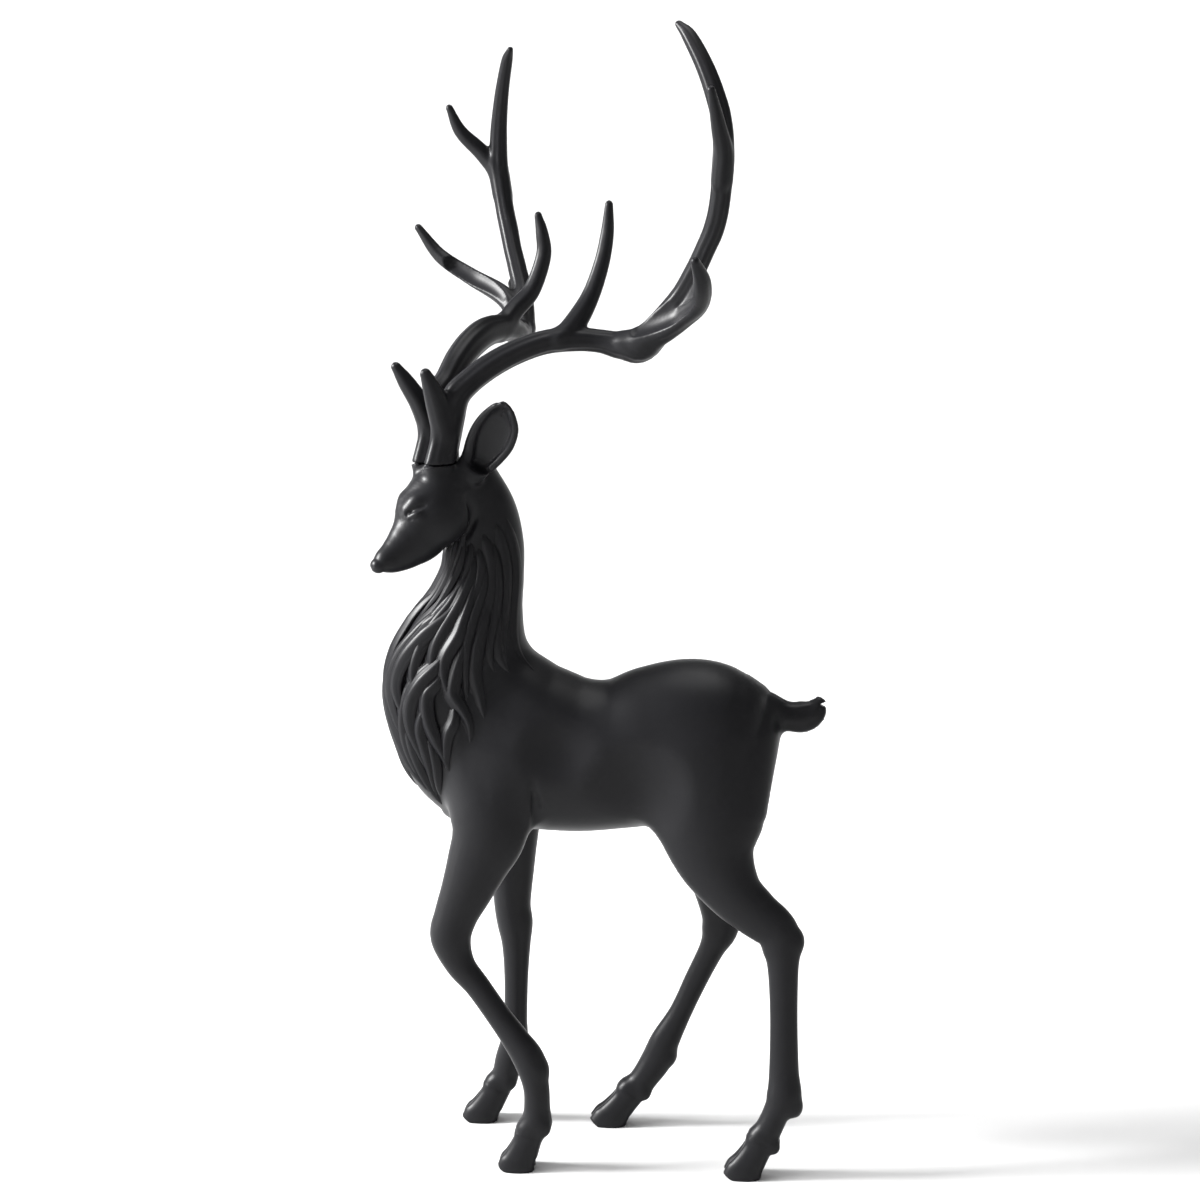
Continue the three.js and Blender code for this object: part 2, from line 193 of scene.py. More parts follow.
# A net of four-sided faces over the zero level: one point in each cell that the surface crosses
def surfaceNet(value, axes):
    inside = value < 0
    shape = [n - 1 for n in value.shape]
    corners = [(x, y, z) for x in (0, 1) for y in (0, 1) for z in (0, 1)]

    def corner(array, x, y, z):
        return array[x:x + shape[0], y:y + shape[1], z:z + shape[2]]

    count = sum(corner(inside, *c).astype(np.int8) for c in corners)
    mixed = (count > 0) & (count < 8)
    cells = np.argwhere(mixed)
    index = np.full(mixed.shape, -1)
    index[mixed] = np.arange(len(cells))
    total = np.zeros((len(cells), 3))
    hits = np.zeros(len(cells))
    for axis in range(3):
        for c in corners:
            if c[axis]:
                continue
            start = cells + c
            end = start.copy()
            end[:, axis] += 1
            a = value[tuple(start.T)]
            b = value[tuple(end.T)]
            crossed = (a < 0) != (b < 0)
            point = start.astype(float)
            point[:, axis] += a / np.where(crossed, a - b, 1)
            total[crossed] += point[crossed]
            hits[crossed] += 1
    steps = np.array([a[1] - a[0] for a in axes])
    points = total / hits[:, None] * steps + np.array([a[0] for a in axes])
    faces = []
    for axis in range(3):
        one = [0, 0, 0]
        one[axis] = 1
        lower = inside[:value.shape[0] - one[0], :value.shape[1] - one[1], :value.shape[2] - one[2]]
        upper = inside[one[0]:, one[1]:, one[2]:]
        edges = np.argwhere(lower != upper)
        u, v = [k for k in range(3) if k != axis]
        keep = (edges[:, u] > 0) & (edges[:, v] > 0) & (edges[:, u] < shape[u]) & (edges[:, v] < shape[v])
        edges = edges[keep]
        ring = []
        for du, dv in ((-1, -1), (0, -1), (0, 0), (-1, 0)):
            cell = edges.copy()
            cell[:, u] += du
            cell[:, v] += dv
            ring.append(index[tuple(cell.T)])
        quad = np.stack(ring, 1)
        outward = lower[tuple(edges.T)]
        if axis == 1:
            outward = ~outward
        quad[~outward] = quad[~outward][:, ::-1]
        faces.append(quad)
    return points, np.vstack(faces)


# Moves points onto the exact surface of the field
def settle(points, field, rounds, most):
    nudge = 0.12
    for _ in range(rounds):
        value = field(points)
        slope = np.stack([(field(points + nudge * np.eye(3)[k]) - value) / nudge for k in range(3)], 1)
        steep = np.maximum((slope ** 2).sum(1), 0.05)
        move = -(value / steep)[:, None] * slope
        length = np.linalg.norm(move, axis=1, keepdims=True)
        points = points + move * np.minimum(1, most / np.maximum(length, 1e-9))
    return points


# Evens out the net along the surface without changing its shape
def relax(points, edges, rounds):
    count = np.bincount(edges.ravel(), minlength=len(points))[:, None]
    for _ in range(rounds):
        total = np.zeros_like(points)
        np.add.at(total, edges[:, 0], points[edges[:, 1]])
        np.add.at(total, edges[:, 1], points[edges[:, 0]])
        points = points * 0.5 + 0.5 * total / count
    return points


def edgesOf(mesh):
    edges = np.empty(len(mesh.edges) * 2, int)
    mesh.edges.foreach_get("vertices", edges)
    return edges.reshape(-1, 2)


def meshPoints(mesh):
    points = np.empty(len(mesh.vertices) * 3)
    mesh.vertices.foreach_get("co", points)
    return points.reshape(-1, 3)


# Splits every face whose middle lies in one of the fine zones
def refine(mesh, zones):
    work = bmesh.new()
    work.from_mesh(mesh)
    chosen = set()
    for face in work.faces:
        x, y, z = face.calc_center_median()
        if any(lo[0] < x < hi[0] and lo[1] < y < hi[1] and lo[2] < z < hi[2] for lo, hi in zones):
            chosen.update(face.edges)
    bmesh.ops.subdivide_edges(work, edges=list(chosen), cuts=1, use_grid_fill=True)
    work.to_mesh(mesh)
    work.free()


def sculpt(name, shapes, cell, floorAt, zones=()):
    value, axes = fieldGrid(shapes, cell, floorAt)
    points, faces = surfaceNet(value, axes)
    mesh = bpy.data.meshes.new(name)
    mesh.from_pydata(points, [], faces)
    edges = edgesOf(mesh)
    points = relax(points, edges, 1)
    points = settle(points, lambda p: fieldAt(shapes, p, floorAt, False), 1, cell)
    mesh.vertices.foreach_set("co", points.ravel())
    if zones:
        refine(mesh, zones)
        points = meshPoints(mesh)
    points = settle(points, lambda p: fieldAt(shapes, p, floorAt), 2, cell * 0.6)
    points = (points - shift) * millimetre
    mesh.vertices.foreach_set("co", points.ravel())
    mesh.polygons.foreach_set("use_smooth", np.ones(len(mesh.polygons), bool))
    mesh.update()
    mesh.validate()
    piece = bpy.data.objects.new(name, mesh)
    bpy.context.collection.objects.link(piece)
    print(name, "has", len(mesh.polygons), "faces")
    return piece


# The limbs' stations as [x, y, z, half width across, half depth], in millimetres. The deer faces
# -x and its left side -y
trunk = [
    [-50, 0, 173.5, 19, 26], [-38, 0, 174.5, 23.5, 35.5], [-22, 0, 171.2, 25, 34],
    [-6, 0, 168.8, 24.5, 31.8], [10, 0, 169.6, 24.6, 30.8], [26, 0, 173.3, 25, 33],
    [42, 0, 176.2, 25, 33], [55, 0, 175.2, 22.5, 29.2], [63.6, 0, 172.6, 17, 22],
]
withers = [
    [-47.5, 0, 223, 11, 13], [-39.4, 0, 207.5, 14, 12.5], [-25, 0, 195, 17, 11],
    [-12, 0, 188.5, 15, 9], [4, 0, 179, 13, 7], [22, 0, 172, 12, 6],
]
neck = [
    [-50, 0, 284, 9.5, 10], [-46.3, 0, 269.5, 12.5, 14.2], [-44.6, 0, 256, 13.5, 15.7],
    [-44.6, 0, 243.5, 14.5, 15.8], [-47.5, 0, 230.5, 16.3, 18.2], [-53, 0, 214.5, 19, 23.4],
    [-56.6, 0, 197.5, 21, 27.2], [-55, 0, 179.5, 21.5, 26.2], [-51.7, 0, 164.5, 19, 24.2],
    [-47, 0, 151, 14, 17.6],
]
tail = [
    [55, 0, 189, 8, 10], [67, 0, 189.5, 5.6, 7.6], [77, 0, 186.6, 5, 6.2],
    [84, 0, 186.2, 4.9, 6.6], [88.6, 0, 188.8, 4.0, 5.6], [91.2, 0, 192.8, 1.9, 2.8],
]
legs = {
    "leftFore": [
        [-37, -12, 169.5, 10, 18], [-40.5, -16, 153.5, 11, 17], [-41.5, -18.5, 139.5, 9.6, 15.2],
        [-46, -19.5, 127.5, 8.4, 12.6], [-50.4, -20, 116.5, 7.6, 10.6], [-55, -20.5, 105.5, 6.8, 8.9],
        [-57, -21, 96.5, 6.6, 8.4], [-53.3, -21.5, 85.5, 5, 6.2], [-46.1, -22, 76.4, 4.3, 5.2],
        [-37.4, -23, 64.4, 4.2, 5.1], [-30.4, -24, 55, 4.6, 5.7], [-24.6, -24.5, 46, 5.4, 6.5],
        [-22, -25, 35.4, 4.7, 5.4], [-21.6, -25, 26.4, 4.7, 5.4], [-22, -25, 20, 5.4, 6.2],
        [-24.5, -25, 13.5, 4.6, 5.2], [-26.4, -25, 7, 4.4, 5.2],
    ],
    "rightFore": [
        [-36, 12, 167.5, 10, 17], [-37, 16, 147.5, 10, 14.5], [-37, 18, 131.5, 9, 11.8],
        [-36.8, 20, 113.5, 7.6, 9.2], [-37, 21, 98.5, 6.6, 7.8], [-36, 21.5, 89.5, 6.3, 7.6],
        [-35.6, 22, 79, 4.9, 6], [-35.8, 22.5, 64.5, 4.2, 5.1], [-36.2, 23, 47.5, 4.2, 5],
        [-36.7, 24, 38, 4.8, 5.6], [-38.9, 24.5, 28, 5.2, 6.3], [-41.2, 25, 20.5, 5, 5.6],
        [-44, 25, 13.5, 4.6, 5], [-47, 25, 7, 4.4, 5],
    ],
    "leftHind": [
        [42.6, -10, 171.5, 12, 27.4], [46.6, -14.5, 156.5, 12.5, 25], [47.4, -17, 143.5, 11.5, 20.8],
        [50.6, -18.5, 130.5, 9.6, 16], [57.6, -20, 118.5, 8, 11.8], [66, -21, 110.5, 6.8, 10],
        [74.8, -21.5, 103.2, 6, 8.8], [77.2, -22, 95, 5.4, 7.6], [77.8, -22.5, 87, 4.7, 6.2],
        [78.3, -23, 69, 4.3, 5.6], [78.7, -24, 46, 4.6, 6], [78.8, -25, 34.4, 5.4, 7.1],
        [75.6, -25, 27, 4.9, 5.5], [72.6, -25, 20, 4.9, 5.5], [69.6, -25, 13, 4.6, 5.2],
        [66.8, -25, 7, 4.4, 5.2],
    ],
    "rightHind": [
        [44, 10, 169.5, 12, 25], [45, 14, 149.5, 12, 20], [46.4, 17, 129.5, 10.2, 15.4],
        [49.4, 19.5, 111.5, 8.2, 11.2], [51.4, 21, 96.5, 6.6, 8.6], [50.4, 21.5, 88, 6, 7.5],
        [47.2, 22, 80, 4.8, 5.4], [40.7, 23, 66, 4.1, 4.9], [34.3, 23.5, 51.5, 4.2, 4.8],
        [27.8, 24, 38.5, 4.9, 6.2], [24.2, 25, 29.5, 5.2, 6.6], [19.6, 25, 22, 5, 6],
        [14.8, 25, 15.4, 4.8, 5.6], [10, 25, 8, 4.4, 4.8],
    ],
}
# Each hoof: how far it stands to the side, where its middle lies at the sole and at its top, its
# dewclaws, and the point at the back of the fetlock, the last four as [x, z]
hooves = {
    "leftFore": {"y": -25, "sole": [-29, 0], "top": [-24.9, 14.5],
                 "claw": [-17.4, 18.5], "fetlock": [-20.4, 42.5]},
    "rightFore": {"y": 25, "sole": [-51, 0], "top": [-44.6, 14.5],
                  "claw": [-37.4, 18], "fetlock": [-35.2, 36]},
    "leftHind": {"y": -25, "sole": [63.4, 0], "top": [69.8, 15],
                 "claw": [76.4, 13.8], "fetlock": [83.4, 30]},
    "rightHind": {"y": 25, "sole": [4.2, 0], "top": [13, 14.5],
                  "claw": [20.4, 15], "fetlock": [29.4, 31.5]},
}

# The head and the antlers are laid out from the crown: forward, to the deer's left, up
crown = np.array([-58, -8, 287.4])
headTurn = math.radians(38)
headForward = np.array([-math.cos(headTurn), -math.sin(headTurn), 0])
headLeft = np.array([math.sin(headTurn), -math.cos(headTurn), 0])
headAxes = np.array([headForward, headLeft, [0, 0, 1]])
forkUp = 50  # above this height over the crown the right antler is a little lower
rightForkShare = 0.944
seatHeight = 289.0  # the flat seats of both antlers
seatGap = 0.3

skull = [
    [-8, 0, -11, 11, 12.5], [-2, 0, -11, 12.6, 14.4], [3.4, 0, -13.8, 12.8, 14.8],
    [8.4, 0, -18.6, 12.2, 13.6],
    [14, 0, -26.2, 10, 11.9], [19.8, 0, -31, 7.6, 9.2], [24.8, 0, -34, 5.9, 7],
    [29.4, 0, -36, 4.6, 4.9], [31.9, 0, -37.2, 3.5, 3.1],
]
ear = [
    [-5, 9.5, -3, 5, 4], [-7.3, 12, 2.4, 6.2, 3.8], [-8.6, 15.2, 7.4, 7.9, 3.5],
    [-9.6, 19.2, 12.8, 8.8, 3.1], [-10.5, 23.2, 19, 7.6, 2.7], [-9.8, 27, 24.4, 4.2, 1.9],
    [-9.0, 28.6, 27, 1.4, 0.8],
]
pedicle = [[2, 4, -8, 6, 7], [6.2, 5, 0, 4.6, 6.7], [6.9, 5, 4, 4.6, 6.7]]
beam = [
    [6.9, 5, 0, 4.6, 6.7], [4.4, 5, 8.8, 4.5, 6.5], [2, 5.2, 19, 4.6, 6.4],
    [-0.3, 6.6, 28.2, 4.8, 5.7], [-5.1, 8.5, 33.8, 4.8, 5.2], [-13, 11.5, 40, 4.8, 5.1],
    [-22.6, 15.5, 45.4, 4.7, 5], [-32.9, 20.5, 49.2, 4.6, 4.9], [-43.4, 26, 50.3, 4.6, 4.9],
    [-51.6, 31.5, 49.5, 4.5, 4.7], [-57.7, 38, 48, 5, 5.6], [-63.8, 45.5, 49.2, 5.8, 6.8],
    [-71.6, 56, 65.4, 4.2, 4.5], [-74, 63.5, 76.2, 4, 4.2], [-75, 69.5, 85.4, 3.9, 4.1],
    [-75.8, 74.5, 94, 4, 4.2], [-75.2, 79, 104.6, 4, 4.1], [-73.8, 83, 122, 4.1, 4.2],
    [-73.4, 82, 134.1, 4, 4.1], [-72.6, 79, 143.4, 3.8, 3.9], [-71.2, 74, 154.2, 3.4, 3.6],
    [-69.4, 66.5, 165.4, 2.8, 3], [-67.9, 61.4, 170.3, 1.4, 1.6],
]
# The right beam is fuller over the head and stands a little further forward
rightBeam = beam[:5] + [
    [-12, 11.5, 41.2, 5, 5.8], [-20.6, 15.5, 47.4, 5, 6.2], [-30.4, 20.5, 51.4, 5, 6.2],
    [-41, 26, 52.2, 5, 5.6], [-49.5, 31.5, 50.8, 4.8, 5], [-55.7, 38, 48.6, 5, 5.6],
    [-61.6, 45.5, 50, 5.4, 6.2], [-68.8, 56, 65.4, 4.2, 4.5], [-71, 63.5, 76.2, 4, 4.2],
    [-72.2, 69.5, 85.4, 3.9, 4.1], [-73.4, 74.5, 94, 4, 4.2], [-73.8, 79, 104.6, 4, 4.1],
    [-73.6, 83, 122, 4.1, 4.2], [-73, 82, 136, 3.7, 3.8], [-72, 79, 146.8, 3.2, 3.4],
    [-70.8, 74.5, 158, 2.8, 3], [-69.2, 68, 169.4, 2.3, 2.5], [-68, 63.6, 173.6, 1.3, 1.4],
]
palm = [[-64.6, 45.4, 48.7, 5, 3], [-69.9, 55.9, 58.7, 6.4, 1.9], [-72.3, 63.9, 65.7, 6.6, 1.5],
        [-73.1, 70.4, 72.2, 5, 1.2]]
tines = {
    "left": [
        [[4.4, 5.4, 14, 4.4, 5], [8, 6.6, 25, 4.3, 4.8], [11.6, 8.1, 32.6, 3.4, 3.7],
         [14.4, 9, 37.6, 2.2, 2.4]],
        [[-37.5, 24.4, 50.5, 3.4, 4], [-44.6, 25, 57, 3.8, 4.6], [-51.4, 25.4, 67.5, 3.4, 3.7],
         [-56.2, 25.8, 80, 3, 3.2], [-58.5, 26.2, 91.5, 2.6, 2.7], [-58.8, 27, 102.4, 1.6, 1.7]],
        [[-59, 40, 48.6, 4.6, 5.2], [-65.8, 53, 53.4, 4.4, 4.6], [-69.2, 64, 59.9, 4.2, 4.4],
         [-69.2, 74, 65.8, 4, 4.2], [-63.4, 84, 74, 3.4, 3.6], [-55.6, 90.5, 82, 1.7, 1.9]],
        [[-73, 82.6, 112, 3.4, 3.6], [-71.6, 85.6, 122, 3.4, 3.6], [-67.6, 88.2, 131, 3, 3],
         [-60.6, 93, 144.5, 1.5, 1.6]],
    ],
    "right": [
        [[4.4, 5.4, 14, 4.3, 4.8], [9, 6.2, 25, 3.9, 4.2], [14, 8, 33.6, 3.2, 3.4],
         [17.6, 9.2, 39.4, 1.9, 2.1]],
        [[-38.5, 25, 51, 3.6, 4.2], [-48.4, 28, 60, 3.8, 4.2], [-56, 27, 68.5, 3.5, 3.7],
         [-61, 26, 83, 3.1, 3.3], [-60.6, 26.4, 93, 2.6, 2.7], [-59.2, 27, 100.4, 1.6, 1.7]],
        [[-62, 45, 50.5, 4.4, 4.6], [-61, 57, 63.5, 4.3, 4.4], [-53.4, 74, 73, 3.6, 3.7],
         [-45.5, 86, 82, 3, 3.1], [-38.8, 92.6, 94.4, 1.6, 1.7]],
        [[-74.5, 81.6, 110, 3.6, 3.8], [-73.4, 83.8, 119, 3.6, 3.8], [-67.8, 87.8, 128.6, 3.4, 3.6],
         [-59.4, 91.4, 138, 2.8, 2.9], [-54.8, 92.8, 148.4, 1.5, 1.6]],
    ],
}

soleMount = next(m for m in frame["record"]["mounts"] if m["name"] == "sole_left_hind")
soleDrawn = np.array([66.4, -25, 0])
shift = soleDrawn - np.array(soleMount["pos_m"]) / millimetre
shift[2] = 0


def fromCrown(stations, side=1):
    rows = []
    for forward, left, up, wide, deep in stations:
        raised = up if side > 0 else up - max(0, up - forkUp) * (1 - rightForkShare)
        point = crown + headForward * forward + headLeft * left * side + np.array([0, 0, raised])
        rows.append([*point, wide, deep])
    return rows


def headPoint(forward, left, up):
    return crown + np.array([forward, left, up]) @ headAxes


def headDirection(forward, left, up):
    return np.array([forward, left, up]) @ headAxes


resinLook = {
    "colour": (0.007, 0.007, 0.008, 1), "roughness": 0.39, "gloss": 0.13,
    "grain": 900.0, "grainDetail": 3, "grainDepth": 0.00006, "bump": 0.35,
}


def resinMaterial():
    material = bpy.data.materials.new("blackResin")
    material.use_nodes = True
    nodes = material.node_tree.nodes
    links = material.node_tree.links
    shader = nodes["Principled BSDF"]
    shader.inputs["Base Color"].default_value = resinLook["colour"]
    shader.inputs["Roughness"].default_value = resinLook["roughness"]
    shader.inputs["Specular IOR Level"].default_value = resinLook["gloss"]
    place = nodes.new("ShaderNodeTexCoord")
    grain = nodes.new("ShaderNodeTexNoise")
    grain.inputs["Scale"].default_value = resinLook["grain"]
    grain.inputs["Detail"].default_value = resinLook["grainDetail"]
    bump = nodes.new("ShaderNodeBump")
    bump.inputs["Strength"].default_value = resinLook["bump"]
    bump.inputs["Distance"].default_value = resinLook["grainDepth"]
    links.new(place.outputs["Object"], grain.inputs["Vector"])
    links.new(grain.outputs["Fac"], bump.inputs["Height"])
    links.new(bump.outputs["Normal"], shader.inputs["Normal"])
    return material


resin = resinMaterial()
print("the resin is mixed")


def dress(piece, *nodes):
    piece.data.materials.clear()
    piece.data.materials.append(resin)
    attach(piece, "root")
    if nodes:
        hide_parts(*nodes)


hoofLook = {
    # Down a toe: share of the hoof's height, sideways from its middle, half width, half depth
    "toe": ((1, 1.6, 3.1, 4.8), (0.65, 2.0, 3.4, 5.5), (0.35, 2.3, 3.7, 6.5),
            (0.15, 2.5, 3.9, 7.5), (-0.08, 2.6, 3.9, 7.4)),
    "toeBack": 0.7, "toeLean": 0.9,
    "fetlock": [3, 3.4, 3.8],
    "claw": [2.3, 1.7, 2.8], "clawApart": 2.6, "clawForward": 1.2,
    "coronet": [3.1, 3.9, 2.5], "coronetForward": 2.0, "coronetUp": 3.0,
    "toeLift": [5.2, 9, 3.8], "liftForward": 10.6, "liftDown": 1.8,
}


def hoofShapes(name):
    hoof = hooves[name]
    y = hoof["y"]
    sole, top = np.array(hoof["sole"], float), np.array(hoof["top"], float)
    claw, fetlock = hoof["claw"], hoof["fetlock"]
    out = [ball([fetlock[0], y, fetlock[1]], hoofLook["fetlock"], blend=3)]
    for half in (-1, 1):
        toe = []
        for share, apart, wide, deep in hoofLook["toe"]:
            x, z = sole + share * (top - sole)
            x = x - hoofLook["toeBack"] - hoofLook["toeLean"] * (1 - share) ** 2
            toe.append([x, y + half * apart, z, wide, deep])
        out.append(tube(toe, blend=1.6, cap=0.25))
        out.append(ball([claw[0] - hoofLook["clawForward"], y + half * hoofLook["clawApart"], claw[1]],
                        hoofLook["claw"], blend=3))
    # The swelling over the front of the hoof, and the lift under the tips of the toes
    out.append(ball([top[0] - hoofLook["coronetForward"], y, top[1] + hoofLook["coronetUp"]],
                    hoofLook["coronet"], blend=4))
    out.append(ball([sole[0] - hoofLook["liftForward"], y, -hoofLook["liftDown"]],
                    hoofLook["toeLift"], blend=1.5, carve=True))
    return out


# Small bulges and hollows of the trunk as [x, y, z] and three half sizes
torsoLook = {
    "tailFlutes": (7, 0.5, 0),
    "tailNotch": ([93.2, 0, 191.6], [2.2, 4, 0.7]),
    "leftHock": ([83, -21.8, 99], [3, 3.4, 4.4]),
    "leftThigh": ([57.6, -15, 147], [10.6, 8, 11]),
    "betweenButtocks": ([75.5, 0, 135], [6.5, 8, 13]),
    "shoulderHollow": ([-12, 28, 177], [9, 4, 12]),
    "flankHollow": ([18, 29, 160], [14, 5, 15]),
    "elbowCrease": [[-22.6, 25.4, 164, 0.4, 0.5], [-22, 22.0, 154, 1.0, 1.4],
                    [-21.8, 19.8, 146, 1.2, 1.6], [-22.4, 18.6, 138, 0.4, 0.5]],
}


def torsoShapes():
    shapes = [
        tube(trunk, blend=6, cap=0.6, steps=12),
        tube(withers, blend=7, cap=0.5, steps=10),
        tube(neck, blend=9, cap=0.7, steps=10),
        tube(tail, blend=5, cap=0.9, flutes=torsoLook["tailFlutes"]),
        ball(*torsoLook["tailNotch"], blend=0.8, carve=True),
    ]
    for name, stations in legs.items():
        shapes.append(tube(stations, blend=12 if "Hind" in name else 9, cap=0.7, steps=9))
    shapes.append(ball(*torsoLook["leftHock"], blend=3))
    for side in (-1, 1):
        for name, blend in (("shoulderHollow", 11), ("flankHollow", 12)):
            (x, y, z), radii = torsoLook[name]
            shapes.append(ball([x, side * y, z], radii, blend=blend, carve=True))
        crease = [[x, side * y, z, wide, deep] for x, y, z, wide, deep in torsoLook["elbowCrease"]]
        shapes.append(tube(crease, blend=2, carve=True))
    shapes.append(ball(*torsoLook["leftThigh"], blend=5))
    shapes.append(ball(*torsoLook["betweenButtocks"], blend=6, carve=True))
    return shapes


# The face's small forms, laid out from the crown like the skull
faceLook = {
    "seat": [7.6, 5, 6.4, 8.2], "seatDepth": 8,
    "brow": [[19.4, 2.4, -15.6, 1.5, 1.5], [17, 5, -11.8, 1.6, 1.6], [12.4, 6.4, -11, 0.3, 0.3]],
    "cheek": ([4.5, 7.6, -20], [8.5, 5.4, 9]),
    "lid": ([17.0, 6.2, -17.4], [3.0, 3.2, 2.6]),
    "overLid": [[20.6, 4.4, -17, 0.1, 0.1], [19.0, 7.0, -15, 0.2, 0.2], [16.4, 9.2, -13.4, 0.1, 0.1]],
    "eyeLine": [[21.4, 4.8, -19, 0.3, 0.3], [20.2, 7.2, -18.9, 0.3, 0.4],
                [18.4, 8.9, -17.8, 0.3, 0.4], [16.4, 10.0, -15.8, 0.3, 0.3]],
    "jawCrease": [[-1.5, 13.4, -11, 0.5, 0.7], [-4.4, 11.6, -18, 0.8, 1.2],
                  [-3.6, 9.0, -25, 0.8, 1.3], [1.5, 8.2, -30.4, 0.5, 0.8]],
    "nostril": ([33.8, 2.7, -36.6], [0.9, 0.4, 0.4]),
    "mouth": [[35.4, 0.6, -38.4, 0.3, 0.3], [32.8, 3.2, -38.8, 0.3, 0.3],
              [28.6, 5.0, -39, 0.3, 0.3], [25.4, 5.9, -38.0, 0.3, 0.3]],
}
earLook = {
    "across": (-0.7, 0.55, -0.47), "facing": (0.71, 0.59, -0.39),
    "hollowWide": 1.18, "hollowDeep": 1.15, "hollowOut": 2, "hollowOutShare": 0.15,
    "stemRoot": (1.5, 8.5, -5.5), "stemRootHalf": 2.6, "stemHalves": (2.4, 2.0, 1.6, 1.2, 0.8),
    "rimHalves": (1.5, 1.4, 1.3, 1.2, 0.9),
}


def faceShapes(side):
    shapes = []

    def line(rows, **options):
        shapes.append(tube(fromCrown(rows, side), across=headLeft, **options))

    def lump(name, **options):
        (forward, left, up), radii = faceLook[name]
        shapes.append(ball(headPoint(forward, left * side, up), radii, headAxes, **options))

    forward, left, wide, deep = faceLook["seat"]
    seat = seatHeight - crown[2]
    line(pedicle, blend=3)
    line([[forward, left, seat, wide, deep], [forward, left, seat + faceLook["seatDepth"], wide, deep]],
         blend=0.2, cap=0.02, carve=True)
    line(faceLook["brow"], blend=3.6)
    lump("cheek", blend=5)
    lump("lid", blend=2)
    line(faceLook["overLid"], blend=2, carve=True)
    line(faceLook["eyeLine"], blend=0.6, carve=True)
    line(faceLook["jawCrease"], blend=2.6, carve=True)
    lump("nostril", blend=0.4, carve=True)
    line(faceLook["mouth"], blend=0.7, carve=True)
    return shapes


def earShapes(side):
    forward, left, up = earLook["across"]
    across = headDirection(forward, left * side, up)
    forward, left, up = earLook["facing"]
    facing = headDirection(forward, left * side, up)
    leaf = fromCrown(ear, side)
    # The hollow is wider than the leaf, so that it runs out at the leaf's edge
    hollow = []
    for row in leaf[1:]:
        wide, deep = row[3] * earLook["hollowWide"], row[4] * earLook["hollowDeep"]
        out = facing * (row[4] * earLook["hollowOutShare"] + earLook["hollowOut"])
        hollow.append([*(np.array(row[:3]) + out), wide, deep])
    # The stem stands along the front edge of the leaf, and a thinner rim along its back edge
    forward, left, up = earLook["stemRoot"]
    stem = [[*headPoint(forward, left * side, up), earLook["stemRootHalf"], earLook["stemRootHalf"]]]
    rim = []
    for row, thick, thin in zip(leaf[1:6], earLook["stemHalves"], earLook["rimHalves"]):
        out = across * (row[3] * 0.9 - 0.4)
        stem.append([*(np.array(row[:3]) - out), thick, thick])
        rim.append([*(np.array(row[:3]) + out), thin, thin])
    return [
        tube(leaf, across=across, blend=2.2, cap=0.8),
        tube(hollow, across=across, blend=1.2, cap=0.5, carve=True),
        tube(stem, across=across, blend=2),
        tube(rim, across=across, blend=1.4),
    ]


def headShapes():
    shapes = [tube(fromCrown(skull), across=headLeft, blend=4, cap=1.0, steps=8)]
    for makeShapes in (faceShapes, earShapes):
        for side in (1, -1):
            shapes += makeShapes(side)
    return shapes


def bodyShapes():
    shapes = torsoShapes()
    for name in legs:
        shapes += hoofShapes(name)
    return shapes + headShapes()


bodyMesh = {
    "cell": 1.3, "quickCell": 1.6,
    "fineZones": [((-100, -60, 238), (-20, 30, 320)), ((-70, -40, -1), (90, 40, 17))],  # head, hooves
}
body = sculpt("deerBody", bodyShapes(), bodyMesh["cell"], 0.0,
              bodyMesh["fineZones"])
dress(body, "deer_body")


